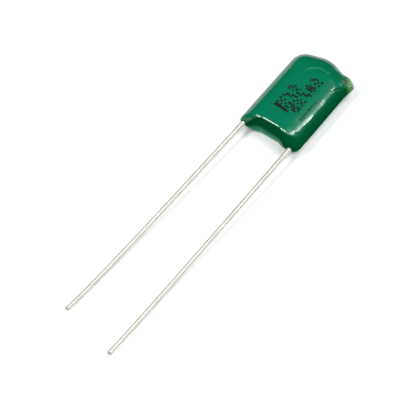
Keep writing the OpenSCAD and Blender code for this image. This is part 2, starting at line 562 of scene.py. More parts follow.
@dataclass(frozen=True)
class WireLead:
    """One tinned wire, from its cut tip through the resin to the flattened end in the roll."""

    side: Side
    roll: FilmRoll
    bow: float
    bow_lean: float = 0.6
    bow_steps: int = 24
    knee_cover: float = 0.2
    bend_radius: float = 0.7
    bend_steps: int = 10
    tab_inset: float = 0.7
    tab_width: float = 0.9
    tab_thickness: float = 0.2
    tab_neck: float = 1.4
    tip_facing: float = -0.9
    ring_sides: int = 32
    ring_spacing: float = 0.12

    @property
    def node(self) -> str:
        """Names the wire's solid."""
        return f"{self.side.name.lower()}_lead"

    @property
    def pin(self) -> dict:
        """Finds the record's mount on the free stretch of the wire."""
        return next(m for m in frame["record"]["mounts"] if m["name"] == f"{self.node}_pin")

    @property
    def radius(self) -> float:
        """Gives the wire's radius."""
        return self.pin["dims"]["r_mm"]

    @property
    def way(self) -> Vector:
        """Gives the direction from the resin to the tip."""
        return Vector(self.pin["axis"]).normalized()

    def free_end(self, sign: int) -> Vector:
        """Gives one end of the free stretch: +1 is the tip and -1 is where the wire leaves the resin."""
        return Vector(self.pin["pos_m"]) / MM + self.way * sign * self.pin["dims"]["length_mm"] / 2

    def centre_line(self) -> list[Vector]:
        """Lays out the wire's centre line.

        Returns:
            Points from the tip, along a slightly bowed free stretch, to the end in the roll.
        """
        tip, leaves = self.free_end(1), self.free_end(-1)
        sideways = Vector((0, 0, 1)).cross(self.way).normalized()
        free = []
        for step in range(self.bow_steps + 1):
            share = step / self.bow_steps
            out = self.bow * math.sin(math.pi * share**self.bow_lean)
            free.append(tip.lerp(leaves, share) + sideways * out)
        inner = self.side.value * (self.roll.width / 2 - self.tab_inset)
        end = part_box(self.node)[1].y / MM
        return [
            *free,
            leaves - self.way * self.knee_cover,
            Vector((inner, -self.roll.length / 2, self.roll.middle)),
            Vector((inner, end, self.roll.middle)),
        ]

    def build(self) -> bpy.types.Object:
        """Draws the wire along its line, presses its inner end flat and dresses it.

        Returns:
            The finished wire.
        """
        line = self.centre_line()
        seed = bpy.data.meshes.new(self.node)
        seed.from_pydata([p * MM for p in line], [(i, i + 1) for i in range(len(line) - 1)], [])
        flat_start = -self.roll.length / 2 + self.tab_neck - self.tab_thickness
        piece = grown(
            f"{self.node}_wire",
            seed,
            wire_tree(),
            {
                "Wire Radius": self.radius * MM,
                "Bend Radius": self.bend_radius * MM,
                "Bend Steps": self.bend_steps,
                "Ring Spacing": self.ring_spacing * MM,
                "Ring Sides": self.ring_sides,
                "Tab Middle": (line[-1].x * MM, 0.0, self.roll.middle * MM),
                "Tab Start": flat_start * MM,
                "Tab Taper": self.tab_width * MM,
                "Tab Spread": self.tab_width / (2 * self.radius),
                "Tab Press": self.tab_thickness / (2 * self.radius),
                "Tip Facing": self.tip_facing,
                "Tin": TinnedWire().material(),
                "Cut": ShearedCore().material(),
            },
        )
        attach(piece, BODY)
        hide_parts(self.node)
        return piece


def wire_tree() -> bpy.types.NodeTree:
    """Makes the tree that draws a wire along a line and presses one end of it flat.

    Returns:
        The tree, made once and shared by both wires.
    """
    name = "drawn_wire"
    if name in bpy.data.node_groups:
        return bpy.data.node_groups[name]
    kinds = {
        "NodeSocketFloat": ("Wire Radius", "Bend Radius", "Ring Spacing", "Tip Facing")
        + ("Tab Start", "Tab Taper", "Tab Spread", "Tab Press"),
        "NodeSocketInt": ("Bend Steps", "Ring Sides"),
        "NodeSocketVector": ("Tab Middle",),
        "NodeSocketMaterial": ("Tin", "Cut"),
    }
    tree, add, size = new_growth_tree(name, {label: kind for kind in kinds for label in kinds[kind]})
    line = add("GeometryNodeMeshToCurve", {0: size["Geometry"]})
    bent = add(
        "GeometryNodeFilletCurve",
        {"Curve": line, "Count": size["Bend Steps"], "Radius": size["Bend Radius"], "Limit Radius": True},
        mode="POLY",
    )
    even = add("GeometryNodeResampleCurve", {"Curve": bent, "Length": size["Ring Spacing"]}, mode="LENGTH")
    ring = add(
        "GeometryNodeCurvePrimitiveCircle",
        {"Resolution": size["Ring Sides"], "Radius": size["Wire Radius"]},
        mode="RADIUS",
    )
    drawn = add("GeometryNodeCurveToMesh", {"Curve": even, "Profile Curve": ring, "Fill Caps": True})

    place = add("GeometryNodeInputPosition")
    offset = add("ShaderNodeVectorMath", {0: place, 1: size["Tab Middle"]}, operation="SUBTRACT")
    parts = add("ShaderNodeSeparateXYZ", {0: offset})
    taper_end = add("ShaderNodeMath", {0: size["Tab Start"], 1: size["Tab Taper"]}, operation="ADD")
    pressed = add(
        "ShaderNodeMapRange",
        {"Value": parts.outputs["Y"], "From Min": size["Tab Start"], "From Max": taper_end},
        interpolation_type="SMOOTHSTEP",
    )
    spread, press = (
        add("ShaderNodeMix", {"Factor": pressed, "A": 1.0, "B": size[label]})
        for label in ("Tab Spread", "Tab Press")
    )
    factors = add("ShaderNodeCombineXYZ", {0: spread, 1: 1.0, 2: press})
    squeezed = add("ShaderNodeVectorMath", {0: offset, 1: factors}, operation="MULTIPLY")
    moved = add("ShaderNodeVectorMath", {0: squeezed, 1: size["Tab Middle"]}, operation="ADD")
    shaped = add("GeometryNodeSetPosition", {"Geometry": drawn, "Position": moved})

    facing = add("ShaderNodeSeparateXYZ", {0: add("GeometryNodeInputNormal")})
    is_tip = add(
        "FunctionNodeCompare", {0: facing.outputs["Y"], 1: size["Tip Facing"]}, operation="LESS_THAN"
    )
    is_side = add("FunctionNodeBooleanMath", {0: is_tip}, operation="NOT")
    smooth = add("GeometryNodeSetShadeSmooth", {"Geometry": shaped, "Selection": is_side}, domain="FACE")
    whole = add("GeometryNodeRealizeInstances", {0: smooth})
    tinned = add("GeometryNodeSetMaterial", {"Geometry": whole, "Material": size["Tin"]})
    cut = add("GeometryNodeSetMaterial", {"Geometry": tinned, "Selection": is_tip, "Material": size["Cut"]})
    add("NodeGroupOutput", {0: cut})
    return tree


# The resin coat


@dataclass(frozen=True)
class CoatCorner:
    """One corner of the dip: where its girth and its flat face turn, and how full its wall is."""

    girth: Pair
    girth_round: float
    face: Pair
    face_round: float
    fullness: float = 1.0


@dataclass(frozen=True)
class Haze:
    """A patch of the upper face where the gloss is veiled: even as far as its core, gone at its reach."""

    x: float
    y: float
    core: float
    reach: float


@dataclass(frozen=True)
class Pimple:
    """A small bump in the resin's skin, placed on the upper face or its edge."""

    x: float
    y: float
    radius: float
    height: float


def corner_curves(places: np.ndarray, reaches: np.ndarray, steps: int) -> np.ndarray:
    """Rounds the corners of a closed outline, each by a curve that is limited by its two edges.

    Args:
        places: The corners, one row each.
        reaches: How far each rounding may run along its edges.
        steps: Steps in each rounding.

    Returns:
        The outline's points, one row each.
    """
    edge_share = 0.9
    limited = reaches
    ends = []
    for turn in (1, -1):
        edge = np.roll(places, turn, axis=0) - places
        length = np.linalg.norm(edge, axis=1)
        fits = reaches * np.minimum(1, edge_share * length / (reaches + np.roll(reaches, turn)))
        limited = np.minimum(limited, fits)
        ends.append(edge / length[:, None])
    start, finish = (places + limited[:, None] * way for way in ends)
    t = np.linspace(0, 1, steps + 1)[None, :, None]
    curves = (1 - t) ** 2 * start[:, None] + 2 * t * (1 - t) * places[:, None] + t**2 * finish[:, None]
    return curves.reshape(-1, 2)


def corner_values(values: np.ndarray, steps: int) -> np.ndarray:
    """Runs one value evenly from each corner to the next, for the points that corner_curves gives.

    Args:
        values: One value for each corner.
        steps: Steps in each rounding.

    Returns:
        One value for each point.
    """
    t = np.linspace(-0.5, 0.5, steps + 1)[None, :]
    other = np.where(t < 0, np.roll(values, 1)[:, None], np.roll(values, -1)[:, None])
    return (values[:, None] + (other - values[:, None]) * np.abs(t)).ravel()


def bell(reach: float, spacing: float) -> np.ndarray:
    """Makes the weights of a bell curve.

    Args:
        reach: The bell's standard deviation.
        spacing: Distance from one weight to the next.

    Returns:
        Weights that add up to one, an odd number of them.
    """
    tail = 3
    half = max(1, math.ceil(tail * reach / spacing))
    weights = np.exp(-0.5 * (np.arange(-half, half + 1) * spacing / reach) ** 2)
    return weights / weights.sum()


def eased_round(rings: np.ndarray, reach: float, spacing: float) -> np.ndarray:
    """Eases closed rings of points by a bell curve.

    Args:
        rings: The points of each ring, along the first axis.
        reach: The bell's standard deviation.
        spacing: Distance from one point to the next.

    Returns:
        The eased points.
    """
    weights = bell(reach, spacing)
    half = len(weights) // 2
    return sum(weight * np.roll(rings, k - half, axis=0) for k, weight in enumerate(weights))


def away_from(x: float, y: float, points: np.ndarray) -> np.ndarray:
    """Gives how far points lie from a place, in plan."""
    return np.hypot(points[..., 0] - x, points[..., 1] - y)


def grid_normals(grid: np.ndarray) -> np.ndarray:
    """Finds the outward normals of a closed skin.

    Args:
        grid: Points by column and by row, from the lower pole to the upper.

    Returns:
        A unit normal for each point.
    """
    along = np.roll(grid, -1, axis=0) - np.roll(grid, 1, axis=0)
    normal = np.cross(along, np.gradient(grid, axis=1))
    normal /= np.maximum(np.linalg.norm(normal, axis=2, keepdims=True), TINY)
    normal[:, 0] = (0, 0, -1)
    normal[:, -1] = (0, 0, 1)
    return normal


@dataclass(frozen=True)
class ResinCoat:
    """The dipped resin: flat faces, rounded sides and an arched skirt.

    It runs down each wire as a lobe, and has a thin drained corner at the closed end.
    """

    roll: FilmRoll
    leads: tuple[WireLead, WireLead]
    # The girth
    side: float = 0.43
    left_more: float = 0.14
    right_lobe_more: float = 0.35
    skirt: float = 0.75
    arch_left: float = 2.0
    arch_right: float = 1.1
    crown: float = 0.6
    crown_bulge: float = 1.25
    collar: float = 0.15
    side_drop: float = 0.05
    # The flat faces
    face_left: float = 2.2
    face_right: float = 1.97
    face_flare: float = 0.42
    flare_y: float = -2.4
    flare_round: float = 1.2
    drip_face_more: float = 0.2
    face_front_run: float = 0.73
    face_front_left_more: float = 0.17
    face_crown: float = 1.15
    face_fall: float = 0.7
    # The drained corner and its notch
    drip_side: float = 0.3
    drip_rise: float = 0.6
    drip_width: float = 0.95
    notch_width: float = 1.95
    notch_depth: float = 0.14
    drip_foot: float = 1.1
    # How full a wall is: under 1 is fuller than half round, over 1 is drawn out
    squared: float = 0.8
    drawn: float = 2.2
    feathered: float = 2.5
    # Roundings of the girth and the faces
    small_round: float = 0.25
    side_round: float = 0.35
    arch_round: float = 0.6
    crown_round: float = 1.3
    shoulder_round: float = 1.4
    face_round: float = 0.4
    face_corner_round: float = 0.12
    tie_round: float = 0.1
    face_shoulder_round: float = 2.0
    # Where the lobes, the arch and the notch meet the face's edge, as shares of its half width
    left_lobe_tie: float = 0.89
    left_arch_tie: float = 0.7
    right_arch_tie: float = 0.4
    right_lobe_ties: Pair = (0.6, 0.7)
    notch_tie: float = 0.35
    # How finely the skin is laid out
    corner_steps: int = 12
    column_count: int = 440
    wall_rows: int = 56
    face_rows: int = 24
    face_row_lean: float = 1.8
    wall_samples: int = 161
    face_samples: int = 81
    loft_step: float = 0.02
    hollow_steps: int = 24
    # How softly edges and folds are eased
    column_ease: float = 0.07
    edge_ease: float = 0.18
    front_ease: float = 0.09
    front_ease_from: Pair = (-4.75, -4.3)
    drip_ease: float = 0.4
    drip_ease_reach: Pair = (1.6, 2.8)
    drip_ease_rise: Pair = (0.15, 0.6)
    # How the faces sink and wave
    pillow: float = 0.05
    right_roll: float = 0.06
    right_roll_from: float = 1.1
    corner_fall: float = 0.08
    corner_middle: Pair = (0.9, -2.6)
    corner_reach: Pair = (2.0, 3.0)
    wave_length: float = 1.3
    wave_height: float = 0.006
    # Which walls face front and right; where the resin is dull; where shade, light and a reflection are
    # painted
    front_right_way: Pair = (0.35, -0.94)
    front_right_facing: Pair = (-0.1, 0.35)
    lobe_from_x: Pair = (-2.9, -1.6)
    lobe_top_rise: Pair = (0.05, 0.4)
    wall_slope: Pair = (0.7, 0.97)
    lip_slope: Pair = (0.6, 0.93)
    corner_share: Pair = (0.45, 0.8)
    least_wall_shade: float = 0.45
    least_dull: float = 0.35
    thin_dull: float = 0.6
    rim_height: Pair = (0.4, 1.45)
    rim_shine: float = 0.25
    foot_reflection_height: Pair = (0.05, 0.42)
    rim_facing: Pair = (0.3, 0.9)
    lobe_shade_cut: float = 0.6
    crown_from: Pair = (2.6, 4.6)
    crown_shade_depth: float = 0.45
    # Veils in the gloss
    hazes: tuple[Haze, ...] = (
        Haze(1.95, -3.0, 0.2, 0.9),
        Haze(2.5, -3.5, 0.2, 0.8),
        Haze(1.85, -4.6, 0.1, 0.6),
        Haze(2.85, 2.7, 0.15, 0.7),
        Haze(2.8, 3.75, 0.1, 0.5),
    )
    # The thin resin of the drained corner
    thin_inset: Pair = (-0.15, -0.42)
    thin_reach: float = 1.2
    thin_core: float = 0.6
    thin_way: Pair = (0.8, 0.6)
    thin_outer: Pair = (-0.45, 0.15)
    thin_grit: float = 0.24
    thin_grit_height: float = 0.05
    # The ridge over the end of the roll, and pimples
    ridge_centre: Pair = (0.51, 1.88)
    ridge_radius: float = 1.9
    ridge_width: float = 0.06
    ridge_height: float = 0.012
    ridge_turn: Pair = (70.0, 170.0)
    ridge_fade: float = 0.5
    pimples: tuple[Pimple, ...] = (
        Pimple(2.35, 0.7, 0.08, 0.02),
        Pimple(2.9, 0.1, 0.08, 0.02),
        Pimple(2.75, -2.65, 0.08, 0.02),
        Pimple(2.3, -4.1, 0.13, 0.02),
        Pimple(2.72, 3.73, 0.4, 0.15),
    )

    @property
    def thickness(self) -> float:
        """Gives the thickness of the whole body."""
        low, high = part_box("epoxy_coat")
        return (high.z - low.z) / MM

    @property
    def half_width(self) -> float:
        """Gives half the width of the body."""
        return self.roll.width / 2 + self.side

    @property
    def crown_y(self) -> float:
        """Gives the place of the crown's corners along the body."""
        return self.roll.length / 2 + self.crown

    @property
    def drip_tip(self) -> np.ndarray:
        """Gives the tip of the drained corner, in plan."""
        return np.array((self.half_width + self.drip_side, self.crown_y))

    @property
    def drip_end(self) -> np.ndarray:
        """Gives the end of the drained corner beside the notch, in plan."""
        return self.drip_tip + (-self.drip_width, self.drip_rise)

    def corners(self) -> list[CoatCorner]:
        """Places the dip's corners, anticlockwise from the lead end of the right side.

        Returns:
            The corners of the girth and of the flat face.
        """
        small, tie = self.small_round, self.tie_round
        half, crown = self.half_width, self.crown_y
        skirt = -self.roll.length / 2 - self.skirt
        left, right = (lead.free_end(-1) for lead in self.leads)
        wrap = self.leads[0].radius + self.collar
        left_lobe = (left.x - wrap - self.left_more, left.y)
        right_lobe = (right.x - wrap - self.right_lobe_more, right.y)
        shoulder = (-half - self.left_more, crown)
        notch = (self.drip_tip[0] - self.notch_width, crown + self.drip_rise - self.notch_depth)

        front = -self.roll.length / 2 - self.face_front_run
        left_front = front - self.face_front_left_more
        back = crown - self.face_crown
        fall = back - self.face_fall
        left_face, right_face = -self.face_left, self.face_right
        flared = right_face + self.face_flare
        lobe, left_arch = self.left_lobe_tie * left_face, self.left_arch_tie * left_face
        right_arch = self.right_arch_tie * right_face
        inner, outer = (share * right_face for share in self.right_lobe_ties)
        foot_face = (flared, fall - self.drip_foot)
        drip_face = (flared + self.drip_face_more, fall)
        return [
            CoatCorner(
                (half, skirt - self.side_drop), self.side_round, (right_face, front), self.face_corner_round
            ),
            CoatCorner((half, self.flare_y), tie, (flared, self.flare_y), self.flare_round),
            CoatCorner((half, crown - self.drip_foot), self.side_round, foot_face, small),
            CoatCorner(tuple(self.drip_tip), small, drip_face, small, self.feathered),
            CoatCorner(tuple(self.drip_end), small, (flared - self.face_fall, back), small, self.feathered),
            CoatCorner(notch, small, (self.notch_tie * flared, back), tie),
            CoatCorner((0, crown + self.crown_bulge), self.crown_round, (0, back), tie),
            CoatCorner(shoulder, self.shoulder_round, (left_face, fall), self.face_shoulder_round),
            CoatCorner(left_lobe, small, (left_face, left_front), self.face_round, self.drawn),
            CoatCorner((left.x + wrap, left.y), small, (lobe, left_front), tie, self.drawn),
            CoatCorner(
                (-self.arch_left, skirt), self.arch_round, (left_arch, left_front), tie, self.squared
            ),
            CoatCorner((self.arch_right, skirt), self.arch_round, (right_arch, front), tie, self.squared),
            CoatCorner(right_lobe, small, (inner, front), tie, self.drawn),
            CoatCorner((right.x + wrap, right.y), small, (outer, front), tie, self.drawn),
        ]

    def columns(self) -> np.ndarray:
        """Spaces the wall's columns evenly round the body and eases them into one another.

        Returns:
            A row for each column: girth x and y, face x and y, fullness.
        """
        corners = self.corners()
        girth, face = (
            corner_curves(np.array(places, float), np.array(rounds), self.corner_steps)
            for places, rounds in (
                ([c.girth for c in corners], [c.girth_round for c in corners]),
                ([c.face for c in corners], [c.face_round for c in corners]),
            )
        )
        fullness = corner_values(np.array([c.fullness for c in corners]), self.corner_steps)
        rough = np.column_stack((girth, face, fullness))
        closed = np.vstack((rough, rough[:1]))
        gaps = np.diff(closed, axis=0)
        strides = np.hypot(gaps[:, 0], gaps[:, 1]) + np.hypot(gaps[:, 2], gaps[:, 3])
        travel = np.concatenate(([0], np.cumsum(strides)))
        stops = np.linspace(0, travel[-1], self.column_count, endpoint=False)
        even = np.column_stack([np.interp(stops, travel, closed[:, k]) for k in range(closed.shape[1])])
        return eased_round(even, self.column_ease, travel[-1] / 2 / self.column_count)

    def skin(self) -> np.ndarray:
        """Lofts the outer skin and eases its edges.

        Returns:
            Points by column and by row, from the lower face's middle to the upper one's.
        """
        middle = self.thickness / 2
        turn = np.linspace(-math.pi / 2, math.pi / 2, self.wall_samples)
        inward = np.linspace(0, 1, self.face_samples)
        out = 1 - (1 - np.linspace(0, 1, self.face_rows, endpoint=False)) ** self.face_row_lean
        down = 0.5 - 0.5 * np.cos(np.linspace(0, math.pi, self.wall_rows + 1))
        grid = []
        for girth_x, girth_y, face_x, face_y, fullness in self.columns():
            at_front = 1 - smooth_step(*self.front_ease_from, girth_y)
            weights = bell(self.edge_ease + self.front_ease * at_front, self.loft_step)
            half = len(weights) // 2
            share = np.clip(np.cos(turn), 0, None) ** fullness
            wall_x = face_x + (girth_x - face_x) * share
            wall_y = face_y + (girth_y - face_y) * share
            wall = np.column_stack((wall_x, wall_y, middle * (1 + np.sin(turn))))
            under = np.column_stack((inward * face_x, inward * face_y, np.zeros_like(inward)))
            over = under[::-1] + (0, 0, self.thickness)
            path = np.vstack((under[:-1], wall, over[1:]))
            travel = np.concatenate(([0], np.cumsum(np.linalg.norm(np.diff(path, axis=0), axis=1))))
            stops = np.arange(0, travel[-1] + self.loft_step, self.loft_step)
            eased = []
            for values in path.T:
                even = np.pad(np.interp(stops, travel, values), half, mode="edge")
                eased.append(np.convolve(even, weights, mode="valid"))
            flat = travel[len(inward) - 1]
            high = travel[-1] - 2 * flat
            rows = np.concatenate((out * flat, flat + down * high, travel[-1] - out[::-1] * flat))
            grid.append(np.column_stack([np.interp(rows, stops, values) for values in eased]))
        return self.smoothed(np.array(grid))

    def smoothed(self, grid: np.ndarray) -> np.ndarray:
        """Eases the folds above the drained corner, and leaves the girth as it is.

        Args:
            grid: The lofted points.

        Returns:
            The eased points.
        """
        column_width = np.linalg.norm(np.diff(grid[:, grid.shape[1] // 2], axis=0), axis=1).mean()
        eased = eased_round(grid, self.drip_ease, column_width)
        away = away_from(*(self.drip_tip + self.drip_end) / 2, grid)
        rise = np.abs(grid[..., 2] / (self.thickness / 2) - 1)
        share = (1 - smooth_step(*self.drip_ease_reach, away)) * smooth_step(*self.drip_ease_rise, rise)
        return grid + (eased - grid) * share[..., None]

    @property
    def thin_centre(self) -> np.ndarray:
        """Gives the middle of the drained corner, in plan."""
        return (self.drip_tip + self.drip_end) / 2 + self.thin_inset

    def upper(self, skin: np.ndarray) -> np.ndarray:
        """Says which points lie on the upper half of the body."""
        return skin[..., 2] > self.thickness / 2

    def thinness(self, skin: np.ndarray) -> np.ndarray:
        """Gives how far each point lies in the drained corner, where the resin is thin."""
        return 1 - smooth_step(self.thin_core, self.thin_reach, away_from(*self.thin_centre, skin))

    def outerness(self, skin: np.ndarray) -> np.ndarray:
        """Gives how far out in the drained corner each point lies, where the yellow shows most."""
        return smooth_step(*self.thin_outer, (skin[..., :2] - self.thin_centre) @ np.array(self.thin_way))

    def haziness(self, skin: np.ndarray) -> np.ndarray:
        """Finds where the gloss of the upper face is veiled.

        Args:
            skin: The lofted points.

        Returns:
            How far it is veiled at each point.
        """
        veil = np.zeros(skin.shape[:2])
        for haze in self.hazes:
            away = away_from(haze.x, haze.y, skin)
            veil = np.maximum(veil, 1 - smooth_step(haze.core, haze.reach, away))
        return veil * self.upper(skin)

    def ridge(self, skin: np.ndarray) -> np.ndarray:
        """Draws the faint ridge on the upper face where the rounded end of the roll shows through; the
        finish also paints a lighter line along it as its highlight.

        Args:
            skin: The lofted points.

        Returns:
            The ridge's share of its height at each point.
        """
        x, y = skin[..., 0] - self.ridge_centre[0], skin[..., 1] - self.ridge_centre[1]
        turn = np.degrees(np.arctan2(y, x))
        start, end = self.ridge_turn
        middle, half = (start + end) / 2, (end - start) / 2
        fades = 1 - smooth_step(self.ridge_fade * half, half, np.abs(turn - middle))
        across = (np.hypot(x, y) - self.ridge_radius) / self.ridge_width
        return fades * np.exp(-(across**2)) * self.upper(skin)

    def past_corner(self, skin: np.ndarray) -> np.ndarray:
        """Finds what lies past the rounded front corner of the face, on the right.

        Args:
            skin: The lofted points.

        Returns:
            How far past it each point lies, from 0 to 1.
        """
        past_x = np.maximum(skin[..., 0] - self.corner_middle[0], 0)
        past_y = np.maximum(self.corner_middle[1] - skin[..., 1], 0)
        return smooth_step(*self.corner_reach, np.hypot(past_x, past_y))

    def settled(self, skin: np.ndarray, thin: np.ndarray) -> np.ndarray:
        """Gives the lofted skin its pillow, its waves, its ridge, its grit and its pimples.

        Args:
            skin: The lofted points.
            thin: How thin the resin is at each.

        Returns:
            The points as the resin cured, no lower and no higher than the solid.
        """
        push = self.ridge_height * self.ridge(skin)
        for index in np.ndindex(push.shape):
            place = Vector(skin[index])
            push[index] += self.wave_height * noise.noise(place / self.wave_length)
            if thin[index] > 0:
                push[index] += self.thin_grit_height * thin[index] * noise.noise(place / self.thin_grit)
        for pimple in self.pimples:
            away = away_from(pimple.x, pimple.y, skin) / pimple.radius
            push += pimple.height * np.exp(-(away**2)) * self.upper(skin)
        cured = skin + grid_normals(skin) * push[..., None]

        off_middle = (skin[..., 0] / self.half_width) ** 2 + (skin[..., 1] / self.crown_y) ** 2
        falls = self.pillow * np.minimum(off_middle / 2, 1)
        falls += self.right_roll * smooth_step(self.right_roll_from, self.half_width, skin[..., 0])
        falls += self.corner_fall * self.past_corner(skin)
        rise = skin[..., 2] / (self.thickness / 2) - 1
        cured[..., 2] -= rise * falls
        cured[..., 2] = np.clip(cured[..., 2], 0, self.thickness)
        return cured

    def looks(self, skin: np.ndarray, thin: np.ndarray) -> dict[str, np.ndarray]:
        """Works out how the resin looks at each point: how dull, how painted with shade, light and
        reflection, how thin, how ridged with a painted highlight and how hazy.

        Args:
            skin: The lofted points.
            thin: How thin the resin is at each.

        Returns:
            The values of each layer that the finish reads, by the layer's name.
        """
        normal = grid_normals(skin)
        level = np.abs(normal[..., 2])
        corner = smooth_step(*self.corner_share, self.past_corner(skin))
        wall, below_lip = (
            np.maximum(1 - smooth_step(*slope, level), corner) for slope in (self.wall_slope, self.lip_slope)
        )
        sideways = np.maximum(np.hypot(normal[..., 0], normal[..., 1]), TINY)
        faces_front_right = smooth_step(*self.front_right_facing, (normal[..., :2] @ np.array(self.front_right_way)) / sideways)
        on_left = 1 - smooth_step(*self.lobe_from_x, skin[..., 0])
        lobe = smooth_step(*self.lobe_top_rise, normal[..., 2]) * on_left
        faces_front_right *= 1 - lobe
        rim = 1 - smooth_step(*self.rim_height, skin[..., 2])
        dull = below_lip * np.maximum(faces_front_right, self.least_dull) * (1 - self.rim_shine * rim)
        shade_share = self.least_wall_shade + (1 - self.least_wall_shade) * faces_front_right
        # Painted shade: darker on steep walls that face front and right, less on the left lobe's top, and on
        # the upward crown slope.
        thick = wall * shade_share * (1 - rim) * (1 - self.lobe_shade_cut * lobe)
        crown_shade = self.crown_shade_depth * smooth_step(*self.crown_from, skin[..., 1]) * (normal[..., 2] > 0)
        front = smooth_step(*self.rim_facing, -normal[..., 1])
        return {
            "dull": np.maximum(dull, self.thin_dull * thin),
            "thick": np.maximum(thick, crown_shade),
            "lit_rim": front * rim,
            # A painted reflection of the table, low on the walls that face the front.
            "foot": front * (1 - smooth_step(*self.foot_reflection_height, skin[..., 2])),
            "thin": thin,
            "thin_outer": self.outerness(skin),
            "ridge": self.ridge(skin),
            "hazy": self.haziness(skin),
        }

    def hollow(self) -> tuple[list[tuple[float, float, float]], list[list[int]]]:
        """Draws the inside of the coat, the flat oval that the roll fills, facing inwards.

        Returns:
            Its points and its faces.
        """
        radius = self.roll.thickness / 2
        span = self.roll.width / 2 - radius
        section = []
        for sign in (1, -1):
            for step in range(self.hollow_steps + 1):
                turn = math.pi * (step / self.hollow_steps - 0.5)
                section.append((sign * (span + radius * math.cos(turn)), sign * radius * math.sin(turn)))
        count = len(section)
        points = [
            (x, y, self.roll.middle + z)
            for y in (-self.roll.length / 2, self.roll.length / 2)
            for x, z in section
        ]
        walls = [[i, (i + 1) % count, count + (i + 1) % count, count + i] for i in range(count)]
        ends = [list(range(count - 1, -1, -1)), list(range(count, 2 * count))]
        return points, walls + ends

    def build(self) -> bpy.types.Object:
        """Makes the coat's mesh with its skin and hollow, and dresses it.

        Returns:
            The finished coat.
        """
        skin = self.skin()
        thin = self.thinness(skin)
        cured = self.settled(skin, thin)
        columns, rows = thin.shape
        points = [tuple(cured[i, k]) for k in range(1, rows - 1) for i in range(columns)]
        under, over = len(points), len(points) + 1
        points += [tuple(cured[:, 0].mean(axis=0)), tuple(cured[:, -1].mean(axis=0))]
        top = under - columns
        faces = []
        for i in range(columns):
            j = (i + 1) % columns
            faces.append([under, j, i])
            for low in range(0, top, columns):
                high = low + columns
                faces.append([low + i, low + j, high + j, high + i])
            faces.append([top + i, top + j, over])
        outer_points, outer_faces = len(points), len(faces)
        inner_points, inner_faces = self.hollow()
        points += inner_points
        faces += [[outer_points + v for v in face] for face in inner_faces]

        mesh = bpy.data.meshes.new("resin_coat")
        mesh.from_pydata([Vector(p) * MM for p in points], [], faces)
        mesh.polygons.foreach_set("use_smooth", [f < outer_faces for f in range(len(faces))])
        for name, values in self.looks(skin, thin).items():
            shade_share = np.zeros(len(points), np.float32)
            shade_share[:under] = values[:, 1:-1].T.ravel()
            mesh.attributes.new(name, "FLOAT", "POINT").data.foreach_set("value", shade_share)
        mesh.update()
        piece = new_object("resin_coat", mesh)
        dress(piece, DippedEpoxy().material())
        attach(piece, BODY)
        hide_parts("epoxy_coat")
        return piece


# The print


class Motif(Enum):
    """Plain patterns of ink dots, three dots wide and five high."""

    STAIRS = "stairs"
    CHECKER = "checker"
    LOZENGE = "lozenge"
    HATCH = "hatch"
    SPRINKLE = "sprinkle"

    def inks(self, across: int, up: int) -> bool:
        """Says whether a dot of the pattern is inked.

        Args:
            across: The dot's place across the pattern, from 0.
            up: Its place up the pattern, from 0.

        Returns:
            True where there is ink.
        """
        rules = {
            Motif.STAIRS: abs(up - 2 * across) <= 1,
            Motif.CHECKER: (across + up) % 2 == 0,
            Motif.LOZENGE: abs(across - 1) + abs(up - 2) <= 2,
            Motif.HATCH: (across + up) % 3 != 1,
            Motif.SPRINKLE: (2 * across + 3 * up) % 5 < 3,
        }
        return rules[self]


@dataclass(frozen=True)
class Mark:
    """One spot of ink: its place on the face and its size along and across the print."""

    x: float
    y: float
    length: float
    width: float


